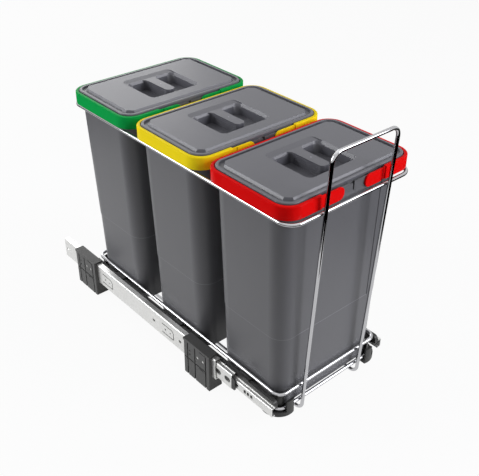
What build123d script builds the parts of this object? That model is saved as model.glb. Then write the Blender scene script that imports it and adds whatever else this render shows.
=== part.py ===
from build123d import *
import os
from math import sqrt

# Pull-out waste frame for a narrow base cabinet: a chromed wire basket on a pair of
# full-extension ball slides, carrying three lidded bins. Millimetres, +Z up, front at -Y.
# Lengths along Y are first counted from the front face of the front colour ring.

# Driving dimensions of the slides
SLIDE_LENGTH = 400.0
SLIDE_HEIGHT = 35.0
SLIDE_THICKNESS = 10.0
SLIDE_CENTRE_Z = 41.5
MID_SHORTER_EACH_END = 22.0
OPEN_AT_REST = 109.0
INNER_AHEAD = 1.4
SHEET = 1.2
WEB_GAP = 0.8
OUTER_SETBACK = 1.6
MID_SETBACK = 1.1
OUTER_LIP = 0.9
MID_LIP = 0.8
INNER_LIP = 1.1
LIP_SHEET = 1.0
CHANNEL_CORNER = 1.8
MID_CORNER = 1.6
INNER_CORNER = 1.6
OUTER_BALL = 3.2
INNER_BALL = 4.4
RACE_CLEARANCE = 0.05
BALLS_PER_ROW = 8
CAGE_LENGTH_SHARE = 0.4
OUTER_CAGE_SHARE = 0.34
INNER_CAGE_SHARE = 0.42
CAGE_SHEET = 0.8
OUTER_CAGE_WIDTH = 4.2
INNER_CAGE_WIDTH = 5.4
OVERRUN = 1.0

# Punched features of the slide webs
LANCE_LENGTH = 29.0
LANCE_HEIGHT_SHARE = 0.5
LANCE_SLOT = 1.8
LANCE_LOW_CORNER = 2.8
LANCE_HIGH_CORNER = 7.0
LANCE_DROP = 0.8
LANCE_HOLE = 3.2
LANCE_HOLE_SMALL = 2.6
LANCE_HOLE_SHARES = (0.72, 0.3)
LANCE_BEHIND_BRACKET = 28.8
LANCE_AHEAD_OF_BRACKET = 43.5
OVAL_LENGTH = 6.4
OVAL_HEIGHT = 4.4
OVALS_BEHIND_BRACKET = (14.3, 78.3)
REAR_SLOT_LENGTH = 7.0
REAR_SLOT_HEIGHT = 3.4
REAR_SLOT_INSET = 8.0
MID_OVAL_LENGTH = 12.0
MID_OVAL_HEIGHT = 8.4
MID_OVAL_PLACES = (9.0, 28.5)
INNER_SLOT_LENGTH = 14.0
INNER_SLOT_HEIGHT = 4.6
INNER_SLOT_PLACE = 72.0
INNER_WINDOW_LENGTH = 4.4
INNER_WINDOW_HEIGHT = 5.6
INNER_WINDOW_CORNER = 0.8
INNER_WINDOW_PLACES = (39.0, 45.5, 52.0)

# Front buffer of the middle member
BUFFER_LENGTH = 7.0
BUFFER_HEIGHT_SHARE = 0.82
BUFFER_CLEARANCE = 0.3
BUFFER_CORNER = 1.5
BUFFER_TAIL = 38.0
BUFFER_TAIL_HEIGHT = 11.0

# Wire basket
WIRE = 5.0
WELD_GAP = 0.06
TOP_RING_CORNER = 18.4
TOP_RING_Z = 327.2
TOP_RING_AHEAD = 1.5
TOP_ROOM_SIDE = 0.75
TOP_ROOM_REAR = 5.6
BASE_RING_CORNER = 12.0
UPPER_BASE_Z = 60.4
LOWER_BASE_Z = 34.9
BASE_ROOM_SIDE = 0.75
BASE_ROOM_FRONT = 0.7
BASE_ROOM_REAR = 0.8
HANDLE_HALF = 54.3
HANDLE_RISE = 77.1
HANDLE_CORNER = 13.0
FLOOR_WIRE_Z = 17.0
FLOOR_BEND = 12.0
FLOOR_WIRE_REAR_INSET = 12.0
REAR_FOOT_LENGTH = 70.0

# Bins
BIN_NAMES = ("front", "middle", "rear")
RING_GAP = 7.8
RING_BEYOND_SIDE = 8.35
RING_BEYOND_FRONT = 10.0
BIN_TAPER_SIDE = 11.55
BIN_TAPER_FRONT = 2.55
BIN_BASE_Z = 31.5
BIN_CREASE_SHARE = 0.384
BIN_CREASE_STEP = 0.6
BIN_WALL = 2.0
BIN_CORNER = 22.0
BIN_CORNER_BASE = 20.0
BIN_BASE_BEVEL = 4.0
BIN_SHIFT = 3.6
FLANGE_THICKNESS = 3.5
WIRE_SEAT = 0.3
COLLAR_WALL = 1.4
COLLAR_BELOW_RING_TOP = 2.4
PANEL_RECESS = 0.7
PANEL_SHARE = 0.66
PANEL_BELOW_FLANGE = 8.0
TAB_HALF = 43.0
TAB_THICKNESS = 1.4
TAB_SLOT_WIDTH = 2.6
TAB_SLOT_DEPTH = 11.0
TAB_BAR_LENGTH = 8.0
TAB_BAR_HEIGHT = 2.0

# Colour rings that clamp the liner
RING_HALF = 108.4
RING_FRONT_Y = -2.5
RING_DEPTH = 143.2
RING_CORNER = 24.3
RING_WALL = 4.4
RING_HEIGHT = 17.0
RING_LAP = 1.4
LINER_GAP = 1.0
RING_EDGE = 1.0
RING_BAND_START = 53.5
RING_STEP_START = 46.0
RING_STEP_DEPTH = 1.2
PILL_INNER_END = 18.0
PILL_THICKNESS = 2.2
PILL_LIFT = 0.6

# Lids
STACK_GAP = 0.3
LID_RIM_INSET = 5.6
LID_RIM_HEIGHT = 3.8
LID_RIM_EDGE = 1.0
LID_TRAY_CLEARANCE = 0.3
LID_TRAY_WALL = 2.3
LID_VALLEY_WIDTH = 3.6
LID_VALLEY_DEPTH = 2.4
LID_RISE = 1.0
LID_SLOPE = 2.2
LID_SIDE_LEDGE = 1.5
LID_CORNER_FACET = 9.0
LID_WALL = 1.6
POCKET_WIDTH = 83.0
POCKET_LENGTH = 77.8
POCKET_DEPTH = 16.0
POCKET_CORNER = 8.0
POCKET_STEP_DEPTH = 4.7
POCKET_STEP_DRAFT = 2.0
POCKET_RAMP = 10.0
POCKET_LEDGE = 0.6
POCKET_DRAFT = 1.2
GRIP_WIDTH = 15.0
GRIP_FRONT_GAP = 12.5
GRIP_BELOW_TOP = 1.2
GRIP_NOSE = 6.0
GRIP_ROOT = 9.0
GRIP_RIB = 0.8
GRIP_RIB_DEPTH = 0.45
GRIP_RIB_COUNT = 5

# Brackets between the slides and the cabinet floor
BRACKET_WIDTH = 58.0
BRACKET_LIP = 2.7
BRACKET_WALL = 4.7
BRACKET_FOOT = 23.0
BRACKET_TOE = 4.0
FRONT_BRACKET_PLACE = 7.2
REAR_BRACKET_INSET = 43.5
SEAT_GAP = 0.3
LIP_SETBACK = 0.1
FACE_GROOVE_WIDTH = 2.2
FACE_GROOVE_DEPTH = 1.6
FACE_GROOVE_SHARES = (0.13, 0.54, 0.82)
FACE_BELT_SHARE = 0.49
FACE_EDGE_SHARE = 0.96
FACE_SLOT_LENGTH = 13.0
FACE_SLOT_HEIGHT = 1.6
FACE_SLOT_SHARES = ((0.26, 0.93), (0.28, 0.44))
SIDE_HOLE = 3.0
SIDE_HOLE_SHARE = 0.74
SIDE_HOLE_RISE = 1.7
SIDE_HOLE_PITCH = 7.0
SLIDE_SCREW_SHARES = (0.25, 0.45)
SLIDE_SCREW_RISE = 2.5
SCREW_HEAD = 4.6
SCREW_SHANK = 2.5
SCREW_HEAD_DEPTH = 2.0
SCREW_RECESS = 2.6
SCREW_CLEARANCE = 0.2
FLOOR_HOLE = 4.5
FLOOR_HEAD_HOLE = 9.4
FLOOR_HOLE_INSET = 5.4
FLOOR_HOLE_SHARES = (0.25, 0.75)

# Adapter rails and corner clips that join the basket to the inner members
RAIL_THICKNESS = 5.6
RAIL_LOW_RISE = 2.5
RAIL_HEIGHT = 11.6
RAIL_AHEAD = 0.2
RAIL_REAR_INSET = 2.3
RAIL_NOSE = 6.0
RAIL_CLEARANCE = 0.3
TONGUE_FRONT_INSET = 15.2
TONGUE_REAR_INSET = 28.8
BLOCK_LENGTH = 20.0
BLOCK_SHARES = (0.12, 0.47, 0.82)
PIN_DIAMETER = 3.0
PIN_FRONT_INSET = 26.0
PIN_SHARES = (0.25, 0.625, 0.875)
CLIP_CENTRE_INSET = 16.0
CLIP_AHEAD = 6.2
CLIP_RADIUS = 24.0
CLIP_REACH_IN = 7.0
CLIP_REACH_BACK = 6.0
CLIP_BELOW_RING = 10.4
CLIP_FLOOR = 4.0
CLIP_WALL = 2.6
CLIP_LOW_WALL = 7.0
CLIP_POST_HALF = 6.5
CLIP_POST_HEIGHT = 24.5
CLIP_CORE_HEIGHT = 32.0
CLIP_CORE_WALL = 2.4

# Sizes worked out from the driving dimensions
WIRE_R = WIRE / 2
OUTER_DEPTH = SLIDE_THICKNESS - OUTER_SETBACK
MID_END_U = SLIDE_THICKNESS - MID_SETBACK
OUTER_INSIDE = SLIDE_HEIGHT / 2 - SHEET
MID_HALF = OUTER_INSIDE - OUTER_BALL - 2 * RACE_CLEARANCE
MID_INSIDE = MID_HALF - SHEET
INNER_HALF = MID_INSIDE - INNER_BALL - 2 * RACE_CLEARANCE
MID_WEB_U = SHEET + WEB_GAP
INNER_WEB_U = MID_WEB_U + SHEET + WEB_GAP
OUTER_BALL_U = (MID_WEB_U + OUTER_DEPTH) / 2
INNER_BALL_U = (INNER_WEB_U + MID_END_U) / 2
OUTER_BALL_HEIGHT = (OUTER_INSIDE + MID_HALF) / 2
INNER_BALL_HEIGHT = (MID_INSIDE + INNER_HALF) / 2
MID_LENGTH = SLIDE_LENGTH - 2 * MID_SHORTER_EACH_END
CAGE_LENGTH = SLIDE_LENGTH * CAGE_LENGTH_SHARE
LANCE_HEIGHT = SLIDE_HEIGHT * LANCE_HEIGHT_SHARE
BUFFER_HEIGHT = 2 * MID_INSIDE * BUFFER_HEIGHT_SHARE

BIN_PITCH = RING_DEPTH + RING_GAP
LAST_BIN = BIN_PITCH * (len(BIN_NAMES) - 1)
RING_CENTRE_Y = RING_FRONT_Y + RING_DEPTH / 2
BIN_CENTRE_Y = RING_CENTRE_Y + BIN_SHIFT
BIN_TOP_HALF = RING_HALF - RING_BEYOND_SIDE
BIN_TOP_DEPTH = RING_DEPTH - 2 * RING_BEYOND_FRONT
BIN_BASE_HALF = BIN_TOP_HALF - BIN_TAPER_SIDE
BIN_BASE_DEPTH = BIN_TOP_DEPTH - 2 * BIN_TAPER_FRONT
BIN_TOP_Z = TOP_RING_Z + WIRE_R + WIRE_SEAT
BIN_CREASE_Z = BIN_BASE_Z + (BIN_TOP_Z - BIN_BASE_Z) * BIN_CREASE_SHARE
FLANGE_TOP_Z = BIN_TOP_Z + FLANGE_THICKNESS
RING_STEP_Z = FLANGE_TOP_Z + STACK_GAP
RING_BASE_Z = FLANGE_TOP_Z - RING_LAP
RING_TOP_Z = RING_BASE_Z + RING_HEIGHT
COLLAR_TOP_Z = RING_TOP_Z - COLLAR_BELOW_RING_TOP
FLANGE_INSET = PILL_THICKNESS + STACK_GAP
TAB_Y = RING_FRONT_Y + FLANGE_INSET
COLLAR_INSET = RING_WALL + LINER_GAP
LID_BASE_Z = COLLAR_TOP_Z + STACK_GAP
LID_RIM_Z = LID_BASE_Z + LID_RIM_HEIGHT
LID_TOP_Z = LID_RIM_Z + LID_RISE
LID_VALLEY_Z = LID_RIM_Z - LID_VALLEY_DEPTH
TRAY_INSET = COLLAR_INSET + COLLAR_WALL + LID_TRAY_CLEARANCE
VALLEY_INSET = TRAY_INSET + LID_TRAY_WALL
PLATEAU_INSET = VALLEY_INSET + LID_VALLEY_WIDTH


def bin_half_sizes(z):
    """Half width and half depth of the tapered bin wall at a height."""
    share = (z - BIN_BASE_Z) / (BIN_TOP_Z - BIN_BASE_Z)
    half_width = BIN_BASE_HALF + (BIN_TOP_HALF - BIN_BASE_HALF) * share
    half_depth = (BIN_BASE_DEPTH + (BIN_TOP_DEPTH - BIN_BASE_DEPTH) * share) / 2
    return half_width, half_depth


# The basket is laid round the bins, and the slides beside the basket
BIN_AT_BASE_RING = bin_half_sizes(UPPER_BASE_Z + WIRE_R)
BASE_RING_HALF = BIN_AT_BASE_RING[0] + BASE_ROOM_SIDE + WIRE_R
BASE_RING_FRONT_Y = BIN_CENTRE_Y - BIN_AT_BASE_RING[1] - BASE_ROOM_FRONT - WIRE_R
BASE_RING_REAR_Y = BIN_CENTRE_Y + LAST_BIN + BIN_AT_BASE_RING[1] + BASE_ROOM_REAR + WIRE_R
TOP_RING_HALF = BIN_TOP_HALF + TOP_ROOM_SIDE + WIRE_R
TOP_RING_FRONT_Y = RING_FRONT_Y - TOP_RING_AHEAD
TOP_RING_REAR_Y = BIN_CENTRE_Y + LAST_BIN + BIN_TOP_DEPTH / 2 + TOP_ROOM_REAR + WIRE_R
HANDLE_TOP_Z = TOP_RING_Z + HANDLE_RISE
LEAN_HEIGHT = TOP_RING_Z - LOWER_BASE_Z
FRONT_LEAN = (TOP_RING_FRONT_Y - BASE_RING_FRONT_Y) / LEAN_HEIGHT
REAR_LEAN = (TOP_RING_REAR_Y - BASE_RING_REAR_Y) / LEAN_HEIGHT
SLIDE_INNER_X = BASE_RING_HALF + WIRE_R + RAIL_CLEARANCE + RAIL_THICKNESS
SLIDE_FACE_X = SLIDE_INNER_X + SLIDE_THICKNESS
INNER_FRONT_Y = BASE_RING_FRONT_Y - INNER_AHEAD
SLIDE_FRONT_Y = INNER_FRONT_Y + OPEN_AT_REST
SLIDE_REAR_Y = SLIDE_FRONT_Y + SLIDE_LENGTH
MID_FRONT_Y = SLIDE_FRONT_Y + MID_SHORTER_EACH_END - OPEN_AT_REST / 2
OUTER_CAGE_FRONT_Y = SLIDE_FRONT_Y + (SLIDE_LENGTH - CAGE_LENGTH) * OUTER_CAGE_SHARE
INNER_CAGE_FRONT_Y = MID_FRONT_Y + (MID_LENGTH - CAGE_LENGTH) * INNER_CAGE_SHARE
SEAT_Z = SLIDE_CENTRE_Z - SLIDE_HEIGHT / 2 - SEAT_GAP
BRACKET_LIP_Z = SLIDE_CENTRE_Z + SLIDE_HEIGHT / 2 + SEAT_GAP
BRACKET_HEIGHT = BRACKET_LIP_Z + BRACKET_LIP
SLIDE_SCREW_Z = SLIDE_CENTRE_Z + SLIDE_SCREW_RISE
FRONT_BRACKET_Y = SLIDE_FRONT_Y + FRONT_BRACKET_PLACE
FRONT_BRACKET_REAR_Y = FRONT_BRACKET_Y + BRACKET_WIDTH
REAR_BRACKET_Y = SLIDE_REAR_Y - REAR_BRACKET_INSET - BRACKET_WIDTH
BRACKET_PLACES = (FRONT_BRACKET_Y, REAR_BRACKET_Y)
RAIL_FRONT_Y = BASE_RING_FRONT_Y - RAIL_AHEAD
RAIL_LENGTH = BASE_RING_REAR_Y - RAIL_REAR_INSET - RAIL_FRONT_Y
RAIL_LOW_Z = SLIDE_CENTRE_Z + RAIL_LOW_RISE
CLIP_BASE_Z = LOWER_BASE_Z - CLIP_BELOW_RING
CLIP_FRONT_Y = BASE_RING_FRONT_Y - CLIP_AHEAD
CLIP_CENTRE_X = BASE_RING_HALF - CLIP_CENTRE_INSET


def front_wire_y(z):
    """Centre of the leaning handle wires, which lie against the front of both rings."""
    beside = (WIRE + WELD_GAP) * sqrt(1 + FRONT_LEAN**2)
    return BASE_RING_FRONT_Y + FRONT_LEAN * (z - LOWER_BASE_Z) - beside


def rear_wire_y(z):
    """Centre of the rear posts, which lie against the back of both rings."""
    beside = (WIRE + WELD_GAP) * sqrt(1 + REAR_LEAN**2)
    return BASE_RING_REAR_Y + REAR_LEAN * (z - LOWER_BASE_Z) + beside


# The origin lies on the cabinet floor, midway along the whole frame as it stands
MIDDLE_Y = (front_wire_y(HANDLE_TOP_Z) - WIRE_R + SLIDE_REAR_Y) / 2


def save(name, shape):
    """Move a finished piece to the shared origin and write it to its own file."""
    placed = Pos(0, -MIDDLE_Y, 0) * shape
    placed.label = name
    export_step(placed, os.path.join("parts", name + ".step"))


def save_pair(name, left):
    """Write a left-hand piece and its mirror image on the right."""
    save(name + "_left", left)
    save(name + "_right", mirror(left, about=Plane.YZ))


def group(solids):
    """Several loose solids as one item."""
    return Compound(solids)


def block(low_x, high_x, low_y, high_y, low_z, high_z):
    """A box between two corners."""
    centre = Pos((low_x + high_x) / 2, (low_y + high_y) / 2, (low_z + high_z) / 2)
    return centre * Box(high_x - low_x, high_y - low_y, high_z - low_z)


def left_box(low_u, high_u, low_y, high_y, low_z, high_z):
    """A box on the left slide, with u counted inboard from the outer web."""
    return block(low_u - SLIDE_FACE_X, high_u - SLIDE_FACE_X, low_y, high_y, low_z, high_z)


# Slide members

def bar_on_left(section, front_y, length):
    """A section drawn in u and height about the slide's centre line, run along Y."""
    start = Pos(-SLIDE_FACE_X, front_y, SLIDE_CENTRE_Z) * (Plane.XZ * section)
    return extrude(start, length, dir=(0, 1, 0))


def rectangle_between(low_u, high_u, low_h, high_h):
    """A section rectangle between two corners."""
    centre = Pos((low_u + high_u) / 2, (low_h + high_h) / 2)
    return centre * Rectangle(high_u - low_u, high_h - low_h)


def channel(web_u, end_u, half_height, corner):
    """A sheet channel that opens inboard, with round bends beside its web."""
    depth = end_u - web_u
    outline = Pos(end_u, 0) * RectangleRounded(2 * depth, 2 * half_height, corner)
    inside_size = (2 * (depth - SHEET), 2 * (half_height - SHEET))
    hollow = Pos(end_u, 0) * RectangleRounded(*inside_size, corner - SHEET / 2)
    half = rectangle_between(web_u, end_u, -half_height, half_height)
    return (outline - hollow) & half


def lips(end_u, low_h, high_h):
    """The small turned edges at both flange ends of a channel."""
    top = rectangle_between(end_u - LIP_SHEET, end_u, low_h, high_h)
    return top + mirror(top, about=Plane.XZ)


def web_cut(outline, web_u, y, z):
    """A punch through the web at u, drawn in Y and Z."""
    start = Pos(web_u - OVERRUN - SLIDE_FACE_X, y, z) * (Plane.YZ * outline)
    return extrude(start, SHEET + 2 * OVERRUN, dir=(1, 0, 0))


def nosed_plate(length, low, high, low_corner, high_corner):
    """A plate from its nose at 0 back along Y, with two nose corners rounded."""
    nose = [(length, low), (0, low), (0, high), (length, high)]
    radii = [0, low_corner, high_corner, 0]
    return make_face(FilletPolyline(*nose, radius=radii, close=True))


def lance_outline():
    """A tongue cut free by two long slots that join round its nose."""
    half = LANCE_HEIGHT / 2
    outer = nosed_plate(LANCE_LENGTH, -half, half, LANCE_LOW_CORNER, LANCE_HIGH_CORNER)
    low_corner = LANCE_LOW_CORNER - LANCE_SLOT
    high_corner = LANCE_HIGH_CORNER - LANCE_SLOT
    inner_half = half - LANCE_SLOT
    inner = nosed_plate(LANCE_LENGTH, -inner_half, inner_half, low_corner, high_corner)
    rear_share, front_share = LANCE_HOLE_SHARES
    holes = Pos(LANCE_LENGTH * rear_share, 0) * Circle(LANCE_HOLE / 2)
    holes += Pos(LANCE_LENGTH * front_share, 0) * Circle(LANCE_HOLE_SMALL / 2)
    return outer - Pos(LANCE_SLOT, 0) * inner + holes


def side_hole_heights():
    """Heights of the two screw holes that fix a bracket to the cabinet side."""
    middle = SLIDE_CENTRE_Z + SIDE_HOLE_RISE
    return middle - SIDE_HOLE_PITCH / 2, middle + SIDE_HOLE_PITCH / 2


def bracket_hole_places(front_y):
    """Places along Y of the slide screws and of the side screws in one bracket."""
    screws = [front_y + BRACKET_WIDTH * share for share in SLIDE_SCREW_SHARES]
    return screws, front_y + BRACKET_WIDTH * SIDE_HOLE_SHARE


def outer_member():
    """Cabinet-side member: a deep channel with punched tongues and slots in its web."""
    section = channel(0, OUTER_DEPTH, SLIDE_HEIGHT / 2, CHANNEL_CORNER)
    section += lips(OUTER_DEPTH, OUTER_INSIDE - OUTER_LIP, OUTER_INSIDE)
    member = bar_on_left(section, SLIDE_FRONT_Y, SLIDE_LENGTH)
    punch_z = SLIDE_CENTRE_Z - LANCE_DROP
    for y in (FRONT_BRACKET_REAR_Y + LANCE_BEHIND_BRACKET, REAR_BRACKET_Y - LANCE_AHEAD_OF_BRACKET):
        member -= web_cut(lance_outline(), 0, y, punch_z)
    oval = SlotOverall(OVAL_LENGTH, OVAL_HEIGHT)
    for place in OVALS_BEHIND_BRACKET:
        member -= web_cut(oval, 0, FRONT_BRACKET_REAR_Y + place, punch_z)
    rear_slot = SlotOverall(REAR_SLOT_LENGTH, REAR_SLOT_HEIGHT)
    member -= web_cut(rear_slot, 0, SLIDE_REAR_Y - REAR_SLOT_INSET, SLIDE_CENTRE_Z)
    for front_y in BRACKET_PLACES:
        screws, side_y = bracket_hole_places(front_y)
        for y in screws:
            member -= web_cut(Circle(SCREW_SHANK / 2 + SCREW_CLEARANCE), 0, y, SLIDE_SCREW_Z)
        for z in side_hole_heights():
            member -= web_cut(Circle(SIDE_HOLE / 2), 0, side_y, z)
    return member


def mid_member():
    """Middle member, which runs on balls in the outer one and carries the inner one."""
    section = channel(MID_WEB_U, MID_END_U, MID_HALF, MID_CORNER)
    section += lips(MID_END_U, MID_HALF, MID_HALF + MID_LIP)
    member = bar_on_left(section, MID_FRONT_Y, MID_LENGTH)
    oval = SlotOverall(MID_OVAL_LENGTH, MID_OVAL_HEIGHT)
    for place in MID_OVAL_PLACES:
        for y in (MID_FRONT_Y + place, MID_FRONT_Y + MID_LENGTH - place):
            member -= web_cut(oval, MID_WEB_U, y, SLIDE_CENTRE_Z)
    return member


def mid_buffer():
    """Plastic end buffer ahead of the middle member's web, with a tail behind the web."""
    outline = RectangleRounded(BUFFER_LENGTH, BUFFER_HEIGHT, BUFFER_CORNER)
    low_u = SHEET + BUFFER_CLEARANCE
    high_u = INNER_WEB_U - BUFFER_CLEARANCE
    start = Pos(low_u - SLIDE_FACE_X, MID_FRONT_Y - BUFFER_LENGTH / 2, SLIDE_CENTRE_Z)
    head = extrude(start * (Plane.YZ * outline), high_u - low_u, dir=(1, 0, 0))
    half = BUFFER_TAIL_HEIGHT / 2
    heights = (SLIDE_CENTRE_Z - half, SLIDE_CENTRE_Z + half)
    edges = (MID_FRONT_Y - BUFFER_LENGTH / 2, MID_FRONT_Y + BUFFER_TAIL)
    return head + left_box(MID_WEB_U + SHEET, high_u, *edges, *heights)


def pin_places():
    """Places along Y of the pins that hold the rail to the inner member."""
    behind = [PIN_FRONT_INSET] + [SLIDE_LENGTH * share for share in PIN_SHARES]
    return [INNER_FRONT_Y + place for place in behind]


def inner_member():
    """Inner member, fixed to the basket."""
    section = channel(INNER_WEB_U, SLIDE_THICKNESS, INNER_HALF, INNER_CORNER)
    section += lips(SLIDE_THICKNESS, INNER_HALF, INNER_HALF + INNER_LIP)
    member = bar_on_left(section, INNER_FRONT_Y, SLIDE_LENGTH)
    slot = SlotOverall(INNER_SLOT_LENGTH, INNER_SLOT_HEIGHT)
    member -= web_cut(slot, INNER_WEB_U, INNER_FRONT_Y + INNER_SLOT_PLACE, SLIDE_CENTRE_Z)
    window_size = (INNER_WINDOW_LENGTH, INNER_WINDOW_HEIGHT)
    window = RectangleRounded(*window_size, INNER_WINDOW_CORNER)
    for place in INNER_WINDOW_PLACES:
        member -= web_cut(window, INNER_WEB_U, INNER_FRONT_Y + place, SLIDE_CENTRE_Z)
    for y in pin_places():
        hole = Circle(PIN_DIAMETER / 2 + RACE_CLEARANCE)
        member -= web_cut(hole, INNER_WEB_U, y, SLIDE_CENTRE_Z)
    return member


def ball_places(front_y):
    """Even places along one ball row."""
    step = CAGE_LENGTH / BALLS_PER_ROW
    first_y = front_y + step / 2
    return [first_y + step * i for i in range(BALLS_PER_ROW)]


def ball_rows(u, height, front_y, diameter):
    """The balls of the row above and the row below."""
    balls = []
    for side in (-1, 1):
        for y in ball_places(front_y):
            place = Pos(u - SLIDE_FACE_X, y, SLIDE_CENTRE_Z + side * height)
            balls.append(place * Sphere(diameter / 2))
    return group(balls)


def ball_cage(u, height, front_y, diameter, width):
    """The two pierced strips that keep the balls of one cage evenly apart."""
    strips = []
    for side in (-1, 1):
        z = SLIDE_CENTRE_Z + side * height
        low_z = z - CAGE_SHEET / 2
        high_z = z + CAGE_SHEET / 2
        rear_y = front_y + CAGE_LENGTH
        strip = left_box(u - width / 2, u + width / 2, front_y, rear_y, low_z, high_z)
        for y in ball_places(front_y):
            hole = Cylinder(diameter / 2 + RACE_CLEARANCE, CAGE_SHEET + 2 * OVERRUN)
            strip -= Pos(u - SLIDE_FACE_X, y, z) * hole
        strips.append(strip)
    return group(strips)


# Brackets and their screws

def bracket_faces():
    """The bracket's outer and inner wall planes on the left."""
    inner_x = -SLIDE_FACE_X - SEAT_GAP
    return inner_x - BRACKET_WALL, inner_x


def bracket_profile():
    """Section across the slide: wall, lip over the slide, seat, gusset and foot."""
    outer_x, inner_x = bracket_faces()
    lip_x = -SLIDE_INNER_X - LIP_SETBACK
    foot_x = outer_x + BRACKET_FOOT
    points = [
        (outer_x, 0), (foot_x, 0), (foot_x, BRACKET_TOE), (lip_x, SEAT_Z), (inner_x, SEAT_Z),
        (inner_x, BRACKET_LIP_Z), (lip_x, BRACKET_LIP_Z),
        (lip_x, BRACKET_HEIGHT), (outer_x, BRACKET_HEIGHT),
    ]
    return make_face(Polyline(*points, close=True))


def face_features(front_y):
    """Grooves and short slots pressed into the bracket's outer face."""
    outer_x = bracket_faces()[0]
    low_x = outer_x - OVERRUN
    high_x = outer_x + FACE_GROOVE_DEPTH
    half = FACE_GROOVE_WIDTH / 2
    cuts = []
    for share in FACE_GROOVE_SHARES:
        y = front_y + BRACKET_WIDTH * share
        cuts.append(block(low_x, high_x, y - half, y + half, -OVERRUN, BRACKET_HEIGHT - BRACKET_TOE))
    edge_y = front_y + BRACKET_WIDTH * FACE_EDGE_SHARE
    rear_y = front_y + BRACKET_WIDTH + OVERRUN
    cuts.append(block(low_x, high_x, edge_y, rear_y, -OVERRUN, BRACKET_HEIGHT - BRACKET_TOE))
    belt_z = BRACKET_HEIGHT * FACE_BELT_SHARE
    belt_front_y = front_y + BRACKET_WIDTH * FACE_GROOVE_SHARES[0]
    cuts.append(block(low_x, high_x, belt_front_y, rear_y, belt_z - half, belt_z + half))
    for y_share, z_share in FACE_SLOT_SHARES:
        y = front_y + BRACKET_WIDTH * y_share
        z = BRACKET_HEIGHT * z_share
        slot = Plane.YZ * SlotOverall(FACE_SLOT_LENGTH, FACE_SLOT_HEIGHT)
        cuts.append(extrude(Pos(low_x, y, z) * slot, high_x - low_x, dir=(1, 0, 0)))
    return cuts


def x_hole(diameter, low_x, high_x, y, z):
    """A round cut along X."""
    start = Pos(low_x, y, z) * (Plane.YZ * Circle(diameter / 2))
    return extrude(start, high_x - low_x, dir=(1, 0, 0))


def bracket(front_y):
    """Left-hand plastic bracket that seats the slide and stands on the cabinet floor."""
    outer_x, inner_x = bracket_faces()
    section = Pos(0, front_y, 0) * (Plane.XZ * bracket_profile())
    shape = extrude(section, BRACKET_WIDTH, dir=(0, 1, 0))
    for cut in face_features(front_y):
        shape -= cut
    through = (outer_x - OVERRUN, inner_x + OVERRUN)
    screws, side_y = bracket_hole_places(front_y)
    for z in side_hole_heights():
        shape -= x_hole(SIDE_HOLE, *through, side_y, z)
    recess_x = outer_x + SCREW_RECESS + SCREW_CLEARANCE
    for y in screws:
        shape -= x_hole(SCREW_HEAD + 2 * SCREW_CLEARANCE, through[0], recess_x, y, SLIDE_SCREW_Z)
        shape -= x_hole(SCREW_SHANK + 2 * SCREW_CLEARANCE, *through, y, SLIDE_SCREW_Z)
    hole_x = outer_x + BRACKET_FOOT - FLOOR_HOLE_INSET
    for share in FLOOR_HOLE_SHARES:
        y = front_y + BRACKET_WIDTH * share
        shape -= Pos(hole_x, y, 0) * Cylinder(FLOOR_HOLE / 2, 2 * BRACKET_HEIGHT)
        head_room = SEAT_Z + SEAT_GAP - BRACKET_TOE
        head_z = BRACKET_TOE + head_room / 2
        shape -= Pos(hole_x, y, head_z) * Cylinder(FLOOR_HEAD_HOLE / 2, head_room)
    return shape


def slide_screws():
    """Screws whose heads lie in the bracket walls and whose ends hold the outer web."""
    seat_x = bracket_faces()[0] + SCREW_RECESS
    tip_x = -SLIDE_FACE_X + SHEET
    screws = []
    for front_y in BRACKET_PLACES:
        for y in bracket_hole_places(front_y)[0]:
            head = x_hole(SCREW_HEAD, seat_x - SCREW_HEAD_DEPTH, seat_x, y, SLIDE_SCREW_Z)
            shank = x_hole(SCREW_SHANK, seat_x, tip_x, y, SLIDE_SCREW_Z)
            screws.append(head + shank)
    return group(screws)


# Wire basket

def wire_along(path):
    """Round wire swept along a path."""
    section = Plane(origin=path @ 0, z_dir=path % 0) * Circle(WIRE_R)
    return sweep(section, path=path)


def wire_ring(half_width, front_y, rear_y, z, corner):
    """A closed wire ring with round corners."""
    outline = RectangleRounded(2 * half_width, rear_y - front_y, corner)
    path = (Pos(0, (front_y + rear_y) / 2, z) * outline).wire()
    return wire_along(path)


def handle_loop():
    """Front handle and both floor wires, one bent wire."""
    rear_y = BASE_RING_REAR_Y - FLOOR_WIRE_REAR_INSET
    half = []
    for z in (FLOOR_WIRE_Z, HANDLE_TOP_Z):
        half.append((HANDLE_HALF, front_wire_y(z), z))
    left = [(-HANDLE_HALF, rear_y, FLOOR_WIRE_Z)] + [(-x, y, z) for x, y, z in half]
    right = [(x, y, z) for x, y, z in reversed(half)] + [(HANDLE_HALF, rear_y, FLOOR_WIRE_Z)]
    radii = [FLOOR_BEND, HANDLE_CORNER, HANDLE_CORNER, FLOOR_BEND]
    return wire_along(Wire(FilletPolyline(*left, *right, radius=radii).edges()))


def rear_post():
    """Left rear post with its foot bent forward beside the floor wire."""
    x = -(HANDLE_HALF - WIRE - WELD_GAP)
    bottom_y = rear_wire_y(FLOOR_WIRE_Z)
    top_z = TOP_RING_Z + WIRE_R
    points = [
        (x, bottom_y - REAR_FOOT_LENGTH, FLOOR_WIRE_Z),
        (x, bottom_y, FLOOR_WIRE_Z),
        (x, rear_wire_y(top_z), top_z),
    ]
    return wire_along(Wire(FilletPolyline(*points, radius=FLOOR_BEND).edges()))


# Adapter rails and corner clips

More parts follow.
